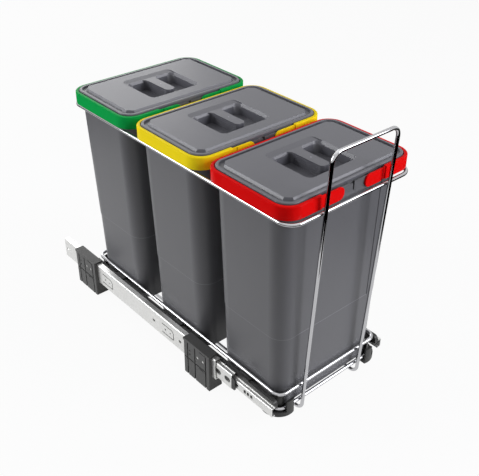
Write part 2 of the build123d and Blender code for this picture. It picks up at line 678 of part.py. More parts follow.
def adapter_rail():
    """Left plastic rail between the basket wires and the inner slide member."""
    outer_x = -SLIDE_INNER_X
    side = nosed_plate(RAIL_LENGTH, 0, RAIL_HEIGHT, RAIL_CLEARANCE, RAIL_NOSE)
    start = Pos(outer_x, RAIL_FRONT_Y, RAIL_LOW_Z) * (Plane.YZ * side)
    rail = extrude(start, RAIL_THICKNESS, dir=(1, 0, 0))
    tongue_u = INNER_WEB_U + SHEET + RAIL_CLEARANCE
    tongue_half = INNER_HALF - SHEET - RAIL_CLEARANCE
    start_y = INNER_FRONT_Y + TONGUE_FRONT_INSET
    end_y = INNER_FRONT_Y + SLIDE_LENGTH - TONGUE_REAR_INSET
    heights = (SLIDE_CENTRE_Z - tongue_half, SLIDE_CENTRE_Z + tongue_half)
    rail += left_box(tongue_u, SLIDE_THICKNESS, start_y, end_y, *heights)
    wire_inner_x = -BASE_RING_HALF + WIRE_R
    block_low = LOWER_BASE_Z + WIRE_R + RAIL_CLEARANCE
    block_high = UPPER_BASE_Z - WIRE_R - RAIL_CLEARANCE
    for share in BLOCK_SHARES:
        y = RAIL_FRONT_Y + RAIL_LENGTH * share
        rail += block(outer_x, wire_inner_x, y, y + BLOCK_LENGTH, block_low, block_high)
    hole_size = PIN_DIAMETER + 2 * RACE_CLEARANCE
    for y in pin_places():
        rail -= x_hole(hole_size, outer_x - SLIDE_THICKNESS, outer_x, y, SLIDE_CENTRE_Z)
    return rail


def rail_pins():
    """Pins through the inner member's web into the rail's tongue."""
    low_x = INNER_WEB_U - SLIDE_FACE_X
    high_x = -SLIDE_INNER_X - RAIL_CLEARANCE
    pins = [x_hole(PIN_DIAMETER, low_x, high_x, y, SLIDE_CENTRE_Z) for y in pin_places()]
    return group(pins)


def up_from(z, outline, top_z):
    """A plan outline raised from one height to another."""
    return extrude(Pos(0, 0, z) * outline, top_z - z, dir=(0, 0, 1))


def plan_rectangle(low_x, high_x, low_y, high_y):
    """A plan rectangle between two corners."""
    return Pos((low_x + high_x) / 2, (low_y + high_y) / 2) * Rectangle(high_x - low_x, high_y - low_y)


def corner_clip():
    """Front left clip: a rounded cup under the ring corner with a front post and a core."""
    centre_y = CLIP_FRONT_Y + CLIP_RADIUS
    disc = Pos(-CLIP_CENTRE_X, centre_y) * Circle(CLIP_RADIUS)
    low_x = -CLIP_CENTRE_X - CLIP_RADIUS
    high_x = -CLIP_CENTRE_X + CLIP_REACH_IN
    window = plan_rectangle(low_x, high_x, CLIP_FRONT_Y, centre_y + CLIP_REACH_BACK)
    cup = disc & window
    hollow = (Pos(-CLIP_CENTRE_X, centre_y) * Circle(CLIP_RADIUS - CLIP_WALL)) & window
    clip = up_from(CLIP_BASE_Z, cup, CLIP_BASE_Z + CLIP_FLOOR)
    clip += up_from(CLIP_BASE_Z, cup - hollow, CLIP_BASE_Z + CLIP_LOW_WALL)
    post_wall = BASE_RING_FRONT_Y - WIRE_R - RAIL_CLEARANCE
    post_edges = (-CLIP_CENTRE_X - CLIP_POST_HALF, -CLIP_CENTRE_X + CLIP_POST_HALF)
    post = disc & plan_rectangle(*post_edges, CLIP_FRONT_Y, post_wall)
    clip += up_from(CLIP_BASE_Z, post, CLIP_BASE_Z + CLIP_POST_HEIGHT)
    bend_x = -BASE_RING_HALF + BASE_RING_CORNER
    bend_y = BASE_RING_FRONT_Y + BASE_RING_CORNER
    core_r = BASE_RING_CORNER - WIRE_R - RAIL_CLEARANCE
    quarter = plan_rectangle(bend_x - BASE_RING_CORNER, bend_x, bend_y - BASE_RING_CORNER, bend_y)
    bend = Pos(bend_x, bend_y)
    core = (bend * Circle(core_r) - bend * Circle(core_r - CLIP_CORE_WALL)) & quarter
    clip += up_from(CLIP_BASE_Z, core, CLIP_BASE_Z + CLIP_CORE_HEIGHT)
    saddle_r = BASE_RING_CORNER + WIRE_R
    saddle = (bend * Circle(saddle_r) - bend * Circle(core_r - CLIP_CORE_WALL)) & quarter
    return clip + up_from(CLIP_BASE_Z, saddle & disc, LOWER_BASE_Z - WIRE_R - RAIL_CLEARANCE)


def rear_clip(front_clip):
    """The front clip turned round for the rear of the ring."""
    middle = (BASE_RING_FRONT_Y + BASE_RING_REAR_Y) / 2
    return mirror(front_clip, about=Plane.XZ.offset(-middle))


# Bins

def bin_section(z, inset, corner):
    """Plan outline of the bin at a height, drawn in by an inset."""
    half_width, half_depth = bin_half_sizes(z)
    size = (2 * (half_width - inset), 2 * (half_depth - inset))
    return Pos(0, BIN_CENTRE_Y, z) * RectangleRounded(*size, corner - inset)


def bin_shell_solid(inset, base_z, top_z):
    """Closed tapered form with the step of the crease and a bevelled base."""
    low_inset = inset + BIN_CREASE_STEP
    bevel_z = base_z + BIN_BASE_BEVEL
    base = bin_section(base_z, low_inset + BIN_BASE_BEVEL, BIN_CORNER_BASE)
    bevel = bin_section(bevel_z, low_inset, BIN_CORNER_BASE)
    crease = bin_section(BIN_CREASE_Z, low_inset, BIN_CORNER)
    shell = loft([base, bevel], ruled=True) + loft([bevel, crease], ruled=True)
    above = bin_section(BIN_CREASE_Z, inset, BIN_CORNER)
    return shell + loft([above, bin_section(top_z, inset, BIN_CORNER)], ruled=True)


def ring_plan(inset):
    """Plan outline of the colour ring, drawn in by an inset."""
    size = (2 * (RING_HALF - inset), RING_DEPTH - 2 * inset)
    return Pos(0, RING_CENTRE_Y) * RectangleRounded(*size, RING_CORNER - inset)


def bin_panels():
    """Shallow recesses in the middle of the bin's two long faces."""
    skin = bin_shell_solid(-OVERRUN, BIN_BASE_Z, BIN_TOP_Z)
    skin -= bin_shell_solid(PANEL_RECESS, BIN_BASE_Z, BIN_TOP_Z)
    half = BIN_TOP_HALF * PANEL_SHARE
    reach = BIN_TOP_DEPTH
    heights = (BIN_CREASE_Z, BIN_TOP_Z - PANEL_BELOW_FLANGE)
    return skin & block(-half, half, BIN_CENTRE_Y - reach, BIN_CENTRE_Y + reach, *heights)


def tab_slot():
    """The T-shaped notch in the middle of the bin's front tab."""
    low_y = TAB_Y - OVERRUN
    high_y = TAB_Y + TAB_THICKNESS + OVERRUN
    half = TAB_SLOT_WIDTH / 2
    high_z = COLLAR_TOP_Z + OVERRUN
    stem = block(-half, half, low_y, high_y, COLLAR_TOP_Z - TAB_SLOT_DEPTH, high_z)
    return stem + block(half - TAB_BAR_LENGTH, half, low_y, high_y, COLLAR_TOP_Z - TAB_BAR_HEIGHT, high_z)


def front_tab():
    """The tab ahead of the collar, with a brace at both ends."""
    tab = block(-TAB_HALF, TAB_HALF, TAB_Y, TAB_Y + TAB_THICKNESS, FLANGE_TOP_Z, COLLAR_TOP_Z)
    brace_rear_y = RING_FRONT_Y + COLLAR_INSET + COLLAR_WALL / 2
    for side in (-1, 1):
        edges = sorted((side * (TAB_HALF - TAB_THICKNESS), side * TAB_HALF))
        tab += block(*edges, TAB_Y, brace_rear_y, FLANGE_TOP_Z, COLLAR_TOP_Z)
    return tab - tab_slot()


def waste_bin():
    """Front bin: tapered body, resting flange, liner collar and front tab."""
    body = bin_shell_solid(0, BIN_BASE_Z, BIN_TOP_Z) - bin_panels()
    flange = up_from(BIN_TOP_Z, ring_plan(FLANGE_INSET), FLANGE_TOP_Z)
    collar = up_from(FLANGE_TOP_Z, ring_plan(COLLAR_INSET), COLLAR_TOP_Z)
    inside = up_from(FLANGE_TOP_Z, ring_plan(COLLAR_INSET + COLLAR_WALL), COLLAR_TOP_Z + OVERRUN)
    cavity = bin_shell_solid(BIN_WALL, BIN_BASE_Z + BIN_WALL, BIN_TOP_Z)
    mouth = bin_section(BIN_TOP_Z, BIN_WALL, BIN_CORNER)
    neck = extrude(mouth, FLANGE_THICKNESS, dir=(0, 0, 1))
    return body + flange + (collar - inside) + front_tab() - cavity - neck


# Colour rings

def clamp_ring():
    """Front colour ring: an open band that steps onto the flange, with pills as its front ends."""
    band = up_from(RING_BASE_Z, ring_plan(0), RING_TOP_Z)
    band = chamfer(band.edges().group_by(Axis.Z)[-1], RING_EDGE)
    band -= up_from(RING_BASE_Z - OVERRUN, ring_plan(RING_WALL), RING_TOP_Z + OVERRUN)
    band -= up_from(RING_BASE_Z - OVERRUN, ring_plan(PILL_THICKNESS), RING_STEP_Z)
    high_y = RING_FRONT_Y + RING_WALL + OVERRUN
    low_y = RING_FRONT_Y - OVERRUN
    low_z = RING_BASE_Z - OVERRUN
    high_z = RING_TOP_Z + OVERRUN
    ring = band - block(-RING_BAND_START, RING_BAND_START, low_y, high_y, low_z, high_z)
    step_y = RING_FRONT_Y + RING_STEP_DEPTH
    pill_top_z = RING_TOP_Z - PILL_LIFT
    heights = (RING_BASE_Z, pill_top_z)
    pill_length = RING_STEP_START - PILL_INNER_END
    square_half = pill_length / 2
    pill_height = pill_top_z - RING_BASE_Z
    middle_x = (RING_STEP_START + PILL_INNER_END) / 2
    middle_z = (RING_BASE_Z + pill_top_z) / 2
    for side in (-1, 1):
        step = sorted((side * RING_BAND_START, side * RING_STEP_START))
        ring += block(*step, step_y, RING_FRONT_Y + PILL_THICKNESS, *heights)
        outline = RectangleRounded(pill_length, pill_height, pill_height / 2 - RING_EDGE)
        outline += Pos(side * square_half / 2, 0) * Rectangle(square_half, pill_height)
        place = Pos(side * middle_x, RING_FRONT_Y, middle_z)
        ring += extrude(place * (Plane.XZ * outline), PILL_THICKNESS, dir=(0, 1, 0))
        joint = sorted((side * RING_BAND_START, side * (RING_STEP_START - RING_EDGE)))
        ring += block(*joint, step_y, RING_FRONT_Y + PILL_THICKNESS, *heights)
    return ring


# Lids

def facet_plan(side_inset, front_inset, facet):
    """Plan outline with straight cut corners."""
    half_x = RING_HALF - side_inset
    half_y = RING_DEPTH / 2 - front_inset
    points = []
    for x_side, y_side, order in ((-1, -1, 1), (1, -1, 0), (1, 1, 1), (-1, 1, 0)):
        along_x = (x_side * (half_x - facet), y_side * half_y)
        along_y = (x_side * half_x, y_side * (half_y - facet))
        points += [along_y, along_x] if order else [along_x, along_y]
    return Pos(0, RING_CENTRE_Y) * make_face(Polyline(*points, close=True))


def lid_rim():
    """The rounded bead over the collar, and the tray that sits inside the collar."""
    bead = up_from(LID_BASE_Z, ring_plan(LID_RIM_INSET), LID_RIM_Z)
    bead = chamfer(bead.edges().group_by(Axis.Z)[-1], LID_RIM_EDGE)
    tray = up_from(LID_VALLEY_Z - LID_WALL, ring_plan(TRAY_INSET), LID_RIM_Z)
    return bead + tray - up_from(LID_VALLEY_Z, ring_plan(VALLEY_INSET), LID_RIM_Z + OVERRUN)


def lid_plateau():
    """The raised middle with sloped edges and cut corners."""
    side_inset = PLATEAU_INSET + LID_SIDE_LEDGE
    low = facet_plan(side_inset, PLATEAU_INSET, LID_CORNER_FACET)
    top_insets = (side_inset + LID_SLOPE, PLATEAU_INSET + LID_SLOPE)
    high = facet_plan(*top_insets, LID_CORNER_FACET - LID_SLOPE)
    return loft([Pos(0, 0, LID_VALLEY_Z) * low, Pos(0, 0, LID_TOP_Z) * high], ruled=True)


def lid_underside():
    """The hollow beneath the plateau, which leaves an even wall."""
    inset = PLATEAU_INSET + LID_SLOPE + LID_WALL
    plan = facet_plan(inset + LID_SIDE_LEDGE, inset, LID_CORNER_FACET - LID_SLOPE)
    return up_from(LID_VALLEY_Z - LID_WALL - OVERRUN, plan, LID_TOP_Z - LID_WALL)


def pocket_outline(z, side_draft, front_draft, rear_draft, wall):
    """Plan outline of the finger pocket at a height, drawn in by drafts."""
    half_x = POCKET_WIDTH / 2 - side_draft + wall
    front_y = RING_CENTRE_Y - POCKET_LENGTH / 2 + front_draft - wall
    rear_y = RING_CENTRE_Y + POCKET_LENGTH / 2 - rear_draft + wall
    outline = RectangleRounded(2 * half_x, rear_y - front_y, POCKET_CORNER + wall)
    return Pos(0, (front_y + rear_y) / 2, z) * outline


def pocket_ramp(wall):
    """The shallow slope from the plateau's level down to the root of the finger bar."""
    rear_y = RING_CENTRE_Y + POCKET_LENGTH / 2 + wall
    front_y = rear_y - POCKET_RAMP - POCKET_CORNER
    low_z = LID_TOP_Z - GRIP_BELOW_TOP - wall
    high_z = LID_TOP_Z + OVERRUN
    foot = [(front_y, high_z), (front_y, low_z), (rear_y - POCKET_RAMP, low_z), (rear_y, LID_TOP_Z - wall)]
    side = Plane.YZ * make_face(Polyline(*foot, (rear_y, high_z), close=True))
    mouth = up_from(low_z, pocket_outline(0, 0, 0, 0, wall), LID_TOP_Z)
    return extrude(side, POCKET_WIDTH / 2 + wall, both=True) & mouth


def pocket_form(wall):
    """Finger pocket: a rear ramp and a stepped lead-in, then a deeper well, grown by a wall."""
    step_z = LID_TOP_Z - POCKET_STEP_DEPTH - wall
    floor_z = LID_TOP_Z - POCKET_DEPTH - wall
    edge = (POCKET_STEP_DRAFT, POCKET_STEP_DRAFT, POCKET_RAMP + POCKET_STEP_DRAFT)
    well = [draft + POCKET_LEDGE for draft in edge]
    foot = [draft + POCKET_DRAFT for draft in well]
    mouth = pocket_outline(LID_TOP_Z, 0, 0, POCKET_RAMP, wall)
    lead_in = loft([pocket_outline(step_z, *edge, wall), mouth], ruled=True)
    deep = [pocket_outline(floor_z, *foot, wall), pocket_outline(step_z, *well, wall)]
    return pocket_ramp(wall) + lead_in + loft(deep, ruled=True)


def grip_outline(wall):
    """Plan of the finger bar, from the pocket's rear edge to its round nose."""
    rear_y = RING_CENTRE_Y + POCKET_LENGTH / 2 - POCKET_RAMP
    front_y = RING_CENTRE_Y - POCKET_LENGTH / 2 + GRIP_FRONT_GAP + wall
    half = GRIP_WIDTH / 2 - wall
    length = rear_y - front_y
    outline = Pos(0, front_y + length / 2) * RectangleRounded(2 * half, length, GRIP_NOSE - wall)
    return outline + plan_rectangle(-half, half, front_y + length / 2, rear_y)


def grip_roots():
    """Plan of the two round fillets that join the finger bar to the pocket's rear wall."""
    rear_y = RING_CENTRE_Y + POCKET_LENGTH / 2 - POCKET_RAMP
    front_y = rear_y - GRIP_ROOT
    half = GRIP_WIDTH / 2
    fillets = []
    for side in (-1, 1):
        corner = plan_rectangle(*sorted((side * half, side * (half + GRIP_ROOT))), front_y, rear_y)
        fillets.append(corner - Pos(side * (half + GRIP_ROOT), front_y) * Circle(GRIP_ROOT))
    return fillets


def grip_bar():
    """The finger bar with its root fillets, down to the pocket's floor."""
    floor_z = LID_TOP_Z - POCKET_DEPTH - LID_WALL
    top_z = LID_TOP_Z - GRIP_BELOW_TOP
    bar = up_from(floor_z, grip_outline(0), top_z)
    for plan in grip_roots():
        bar += up_from(floor_z, plan, top_z)
    return bar


def grip_hollow():
    """The space inside the finger bar, open beneath."""
    floor_z = LID_TOP_Z - POCKET_DEPTH - LID_WALL - OVERRUN
    return up_from(floor_z, grip_outline(LID_WALL), LID_TOP_Z - GRIP_BELOW_TOP - LID_WALL)


def grip_ribs():
    """Fine lengthwise grooves on both sides of the finger bar."""
    front_y = RING_CENTRE_Y - POCKET_LENGTH / 2 + GRIP_FRONT_GAP + GRIP_NOSE
    rear_y = RING_CENTRE_Y + POCKET_LENGTH / 2 - POCKET_RAMP - GRIP_ROOT
    pitch = (POCKET_DEPTH - GRIP_BELOW_TOP) / (GRIP_RIB_COUNT + 1)
    half = GRIP_WIDTH / 2
    cuts = []
    for i in range(GRIP_RIB_COUNT):
        z = LID_TOP_Z - GRIP_BELOW_TOP - pitch * (i + 1)
        for side in (-1, 1):
            edges = sorted((side * (half - GRIP_RIB_DEPTH), side * (half + OVERRUN)))
            cuts.append(block(*edges, front_y, rear_y, z - GRIP_RIB / 2, z + GRIP_RIB / 2))
    return cuts


def lid():
    """Front lid: beaded rim, raised plateau, finger pocket and grip bar."""
    pocket_skin = pocket_form(LID_WALL)
    shape = lid_rim() + lid_plateau() - lid_underside() + pocket_skin - pocket_form(0)
    bar = grip_bar() & pocket_skin
    for cut in grip_ribs():
        bar -= cut
    return shape + bar - grip_hollow()


def build_slides():
    """Both slides with their cages, balls, buffers and screws."""
    save_pair("outer_member", outer_member())
    save_pair("mid_member", mid_member())
    save_pair("mid_buffer", mid_buffer())
    save_pair("inner_member", inner_member())
    outer_row = (OUTER_BALL_U, OUTER_BALL_HEIGHT, OUTER_CAGE_FRONT_Y)
    inner_row = (INNER_BALL_U, INNER_BALL_HEIGHT, INNER_CAGE_FRONT_Y)
    save_pair("outer_balls", ball_rows(*outer_row, OUTER_BALL))
    save_pair("inner_balls", ball_rows(*inner_row, INNER_BALL))
    save_pair("outer_cage", ball_cage(*outer_row, OUTER_BALL, OUTER_CAGE_WIDTH))
    save_pair("inner_cage", ball_cage(*inner_row, INNER_BALL, INNER_CAGE_WIDTH))
    save_pair("slide_screws", slide_screws())
    save_pair("rail_pins", rail_pins())
    for name, front_y in zip(("bracket_front", "bracket_rear"), BRACKET_PLACES):
        save_pair(name, bracket(front_y))


def build_basket():
    """The welded wires, the adapter rails and the corner clips."""
    top_size = (TOP_RING_HALF, TOP_RING_FRONT_Y, TOP_RING_REAR_Y, TOP_RING_Z, TOP_RING_CORNER)
    save("top_ring", wire_ring(*top_size))
    base_size = (BASE_RING_HALF, BASE_RING_FRONT_Y, BASE_RING_REAR_Y)
    save("upper_base_ring", wire_ring(*base_size, UPPER_BASE_Z, BASE_RING_CORNER))
    save("lower_base_ring", wire_ring(*base_size, LOWER_BASE_Z, BASE_RING_CORNER))
    save("handle_loop", handle_loop())
    save_pair("rear_post", rear_post())
    save_pair("adapter_rail", adapter_rail())
    front_clip = corner_clip()
    save_pair("corner_clip_front", front_clip)
    save_pair("corner_clip_rear", rear_clip(front_clip))


def build_bins():
    """Three bins with their colour rings and lids, one pitch apart."""
    for makers in ((waste_bin, "bin"), (clamp_ring, "clamp_ring"), (lid, "lid")):
        piece = makers[0]()
        for number, name in enumerate(BIN_NAMES):
            save(makers[1] + "_" + name, Pos(0, BIN_PITCH * number, 0) * piece)


os.makedirs("parts", exist_ok=True)
build_slides()
build_basket()
build_bins()
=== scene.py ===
from math import cos, pi, radians, sin, sqrt, tan

import bmesh
import bpy
from bpy.props import FloatProperty, FloatVectorProperty, IntProperty, PointerProperty
from mathutils import Matrix, Vector


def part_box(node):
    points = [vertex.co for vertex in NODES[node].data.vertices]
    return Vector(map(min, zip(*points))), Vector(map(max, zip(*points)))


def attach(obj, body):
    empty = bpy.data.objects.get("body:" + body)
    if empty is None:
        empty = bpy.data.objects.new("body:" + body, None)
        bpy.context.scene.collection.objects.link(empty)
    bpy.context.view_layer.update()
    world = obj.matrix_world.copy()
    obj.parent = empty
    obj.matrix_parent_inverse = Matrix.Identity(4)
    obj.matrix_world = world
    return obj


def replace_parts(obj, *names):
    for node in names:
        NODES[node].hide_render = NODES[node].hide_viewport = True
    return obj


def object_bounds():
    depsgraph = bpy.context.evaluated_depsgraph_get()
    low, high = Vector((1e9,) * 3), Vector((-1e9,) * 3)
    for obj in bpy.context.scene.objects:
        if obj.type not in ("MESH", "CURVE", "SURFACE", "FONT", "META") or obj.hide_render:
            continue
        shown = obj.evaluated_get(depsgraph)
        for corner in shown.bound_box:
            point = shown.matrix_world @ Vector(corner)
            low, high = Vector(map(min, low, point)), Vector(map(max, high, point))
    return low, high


bl_info = {
    "name": "Pull-out bin frame",
    "version": (1, 0, 0),
    "blender": (4, 5, 0),
    "location": "View3D > Sidebar > Bin frame",
    "description": "Dresses a pull-out waste frame: wires, slides, brackets, bins, rings and lids",
    "category": "Object",
}

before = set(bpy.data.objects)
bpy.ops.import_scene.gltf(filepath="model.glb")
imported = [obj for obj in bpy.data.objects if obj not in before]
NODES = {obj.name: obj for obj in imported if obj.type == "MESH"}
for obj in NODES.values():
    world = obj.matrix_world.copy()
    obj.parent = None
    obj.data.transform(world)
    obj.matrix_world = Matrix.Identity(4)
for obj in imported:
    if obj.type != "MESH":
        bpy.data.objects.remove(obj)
CAD_LOW, CAD_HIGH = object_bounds()
SIDES = ("left", "right")
PLACES = ("front", "middle", "rear")
FINISH_PREFIX = "finish_"

# Lengths are in metres, apart from the camera's sensor in millimetres and the photograph in pixels
PHOTO_WIDTH = 479
SENSOR_WIDTH = 36.0
# Half width of the lighter line painted along the bins' crease as a highlight
CREASE_HIGHLIGHT_HALF_WIDTH = 0.0006
# Radius of each lid's raised moulding mark, which is also painted lighter as a highlight dot
MARK_RADIUS = 0.001
BRACKET_EDGE = 0.0005
LID_EDGE = 0.0004
RING_EDGE = 0.0007
WELD_DISTANCE = 0.00001
SHARP_ANGLE = radians(35.0)
FLOOR_HALF = 6.0
CARD_HEIGHT = 0.002
CARD_REACH = 2.2

ACROSS, BACK, UP = 0, 1, 2
WHITE = (1.0, 1.0, 1.0, 1.0)
BLACK = (0.0, 0.0, 0.0, 1.0)
FLOOR_DARK = (0.6, 0.6, 0.6, 1.0)
FLOOR_PALE = (0.64, 0.64, 0.64, 1.0)


def middle_y(node):
    """The middle of a node's box along Y."""
    low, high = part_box(node)
    return (low.y + high.y) / 2


FIRST_LID_Y = middle_y("lid_front")
LID_PITCH = middle_y("lid_middle") - FIRST_LID_Y


# Shader building

class Field:
    """A number that varies over a surface, so that shader maths reads as an expression."""

    def __init__(self, shader, socket):
        self.shader = shader
        self.socket = socket

    def maths(self, operation, first, second):
        settings = {"operation": operation}
        node = self.shader.node("ShaderNodeMath", settings, {0: first, 1: second})
        return Field(self.shader, node.outputs[0])

    def __add__(self, other):
        return self.maths("ADD", self, other)

    def __radd__(self, other):
        return self.maths("ADD", other, self)

    def __sub__(self, other):
        return self.maths("SUBTRACT", self, other)

    def __rsub__(self, other):
        return self.maths("SUBTRACT", other, self)

    def __mul__(self, other):
        return self.maths("MULTIPLY", self, other)

    def __rmul__(self, other):
        return self.maths("MULTIPLY", other, self)

    def below(self, other):
        """1 where the field is less than the other, and 0 elsewhere."""
        return self.maths("LESS_THAN", self, other)

    def from_nearest(self, pitch):
        """Distance to the nearest of the marks that stand a pitch apart."""
        return self.maths("PINGPONG", self, pitch / 2)

    def at_least(self, other):
        """The greater of the two at each place."""
        return self.maths("MAXIMUM", self, other)

    def swing(self, amount):
        """A noise field's swing about its middle, up to half the amount either way."""
        return (self - 0.5) * amount


class Nodes:
    """The node tree of a material or a world, emptied to be built anew."""

    def __init__(self, owner):
        owner.use_nodes = True
        self.tree = owner.node_tree
        self.tree.nodes.clear()

    def node(self, kind, settings=None, sockets=None):
        """Make a node: its settings first, then its socket values or links."""
        made = self.tree.nodes.new(kind)
        for key, value in (settings or {}).items():
            setattr(made, key, value)
        for key, value in (sockets or {}).items():
            self.feed(made.inputs[key], value)
        return made

    def feed(self, socket, value):
        """Link or set one socket."""
        if isinstance(value, Field):
            value = value.socket
        if isinstance(value, bpy.types.NodeSocket):
            self.tree.links.new(value, socket)
        else:
            socket.default_value = value


class Shader(Nodes):
    """One node material with a principled surface."""

    def __init__(self, name):
        self.material = bpy.data.materials.new(FINISH_PREFIX + name)
        super().__init__(self.material)
        self.surface = self.node("ShaderNodeBsdfPrincipled")
        sockets = {"Surface": self.surface.outputs[0]}
        self.output = self.node("ShaderNodeOutputMaterial", {}, sockets)
        self.place = self.node("ShaderNodeTexCoord").outputs["Object"]

    def set(self, **sockets):
        """Feed the principled surface's own sockets, named with underscores for spaces."""
        for key, value in sockets.items():
            self.feed(self.surface.inputs[key.replace("_", " ")], value)

    def stretched(self, stretch):
        """The object's own coordinates, scaled along each axis."""
        settings = {"operation": "MULTIPLY"}
        sockets = {0: self.place, 1: stretch}
        return self.node("ShaderNodeVectorMath", settings, sockets).outputs[0]

    def noise(self, scale, detail=2.0, stretch=(1.0, 1.0, 1.0)):
        """Soft noise from 0 to 1, with scale in cells per metre."""
        sockets = {"Vector": self.stretched(stretch), "Scale": scale, "Detail": detail}
        return Field(self, self.node("ShaderNodeTexNoise", {}, sockets).outputs[0])

    def cells(self, scale):
        """Distance to the nearest cell centre, with scale in cells per metre."""
        sockets = {"Vector": self.place, "Scale": scale}
        return Field(self, self.node("ShaderNodeTexVoronoi", {}, sockets).outputs["Distance"])

    def along(self, axis):
        """Place in metres along one axis: ACROSS, BACK or UP."""
        return Field(self, self.node("ShaderNodeSeparateXYZ", {}, {0: self.place}).outputs[axis])

    def mix(self, factor, first, second):
        """A colour between two colours."""
        settings = {"data_type": "RGBA"}
        sockets = {"Factor": factor, 6: first, 7: second}
        return self.node("ShaderNodeMix", settings, sockets).outputs[2]

    def bump(self, height, strength, distance):
        """Surface relief from a height field."""
        sockets = {"Height": height, "Strength": strength, "Distance": distance}
        self.set(Normal=self.node("ShaderNodeBump", {}, sockets).outputs[0])


def tone(colour, share):
    """A colour made lighter or darker, with full alpha."""
    return tuple(min(1.0, c * share) for c in colour[:3]) + (1.0,)


def moulded_plastic(name, colour, roughness, shine, grain_size, grain_depth, crease_highlight_z=None):
    """Moulded plastic with fine grain, flow marks, upright streaks and perhaps a painted highlight
    line along a crease.
    """
    shader = Shader(name)
    cloud = shader.noise(scale=7.0, detail=3.0, stretch=(1.0, 1.0, 0.45))
    streak = shader.noise(scale=18.0, stretch=(1.0, 1.0, 0.05))
    grain = shader.noise(scale=1 / grain_size)
    flow = cloud * 0.5 + streak * 0.5
    surface = shader.mix(flow, tone(colour, 0.84), tone(colour, 1.16))
    # A thin lighter line at the crease height: a painted highlight where the crease catches the
    # light
    if crease_highlight_z:
        away = shader.along(UP) - crease_highlight_z
        painted_crease_highlight = (away * away).below(CREASE_HIGHLIGHT_HALF_WIDTH**2)
        surface = shader.mix(painted_crease_highlight, surface, tone(colour, 1.6))
    shader.set(Base_Color=surface)
    shader.set(Roughness=roughness + flow.swing(0.12) + grain.swing(0.1))
    shader.set(Specular_IOR_Level=shine)
    shader.bump(grain, strength=0.35, distance=grain_depth)
    return shader.material


def lid_plastic(name, colour, roughness, shine):
    """Grained plastic with one small raised moulding mark in the middle of each lid, painted
    lighter as a highlight dot.
    """
    shader = Shader(name)
    flow = shader.noise(scale=9.0, detail=3.0)
    grain = shader.noise(scale=1600.0)
    across = shader.along(ACROSS)
    back = (shader.along(BACK) - FIRST_LID_Y).from_nearest(LID_PITCH)
    # The moulding mark is real relief through the bump, and its much lighter colour is a painted
    # highlight
    raised_mark_and_highlight = (across * across + back * back).below(MARK_RADIUS**2)
    plain = shader.mix(flow, tone(colour, 0.93), tone(colour, 1.07))
    shader.set(Base_Color=shader.mix(raised_mark_and_highlight, plain, tone(colour, 2.6)))
    shader.set(Roughness=roughness + flow.swing(0.1) + grain.swing(0.1))
    shader.set(Specular_IOR_Level=shine)
    shader.bump(grain + raised_mark_and_highlight * 6.0, strength=0.35, distance=0.00005)
    return shader.material


def ring_plastic(name, colour):
    """Smooth coloured plastic, a little glossier, with soft mould waviness."""
    shader = Shader(name)
    flow = shader.noise(scale=11.0)
    wave = shader.noise(scale=60.0, detail=1.0)
    shader.set(Base_Color=shader.mix(flow, tone(colour, 0.93), tone(colour, 1.04)))
    shader.set(Roughness=0.24 + wave.swing(0.12))
    shader.set(Specular_IOR_Level=0.02)
    shader.bump(wave, strength=0.25, distance=0.0001)
    return shader.material


def zinc_steel(name, colour):
    """Zinc-plated sheet: rolling lines along Y, faint spangle and soft handling marks."""
    shader = Shader(name)
    rolled = shader.noise(scale=1.0, detail=3.0, stretch=(900.0, 9.0, 900.0))
    spangle = shader.cells(scale=260.0)
    cloud = shader.noise(scale=24.0, detail=3.0)
    shade = rolled * 0.45 + cloud * 0.4 + spangle * 0.3
    shader.set(Base_Color=shader.mix(shade, tone(colour, 0.82), tone(colour, 1.12)))
    shader.set(Metallic=0.75)
    shader.set(Roughness=0.36 + cloud.swing(0.16) + rolled.swing(0.12))
    shader.bump(rolled, strength=0.2, distance=0.00003)
    return shader.material


def bright_chrome(name, colour):
    """Chrome on drawn wire: nearly mirror bright, with faint lines and clouding."""
    shader = Shader(name)
    cloud = shader.noise(scale=45.0)
    fine = shader.noise(scale=1400.0, detail=1.0)
    shader.set(Base_Color=shader.mix(cloud, tone(colour, 0.95), tone(colour, 1.04)))
    shader.set(Metallic=1.0)
    shader.set(Roughness=0.03 + cloud * 0.03 + fine * 0.02)
    shader.bump(cloud, strength=0.15, distance=0.00005)
    return shader.material


def polished_steel(name, colour, roughness):
    """Bare or plated small steel parts with light machining marks."""
    shader = Shader(name)
    marks = shader.noise(scale=700.0, stretch=(1.0, 0.2, 1.0))
    shader.set(Base_Color=shader.mix(marks, tone(colour, 0.85), tone(colour, 1.1)))
    shader.set(Metallic=1.0)
    shader.set(Roughness=roughness + marks.swing(0.1))
    shader.bump(marks, strength=0.2, distance=0.00003)
    return shader.material


# Mesh building

def new_piece(name, mesh, body, finish):
    """Link a smooth mesh as a piece that rides a body and takes a finish."""
    piece = bpy.data.objects.new(name, mesh)
    bpy.context.scene.collection.objects.link(piece)
    mesh.materials.append(finish)
    for face in mesh.polygons:
        face.use_smooth = True
    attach(piece, body)
    return piece


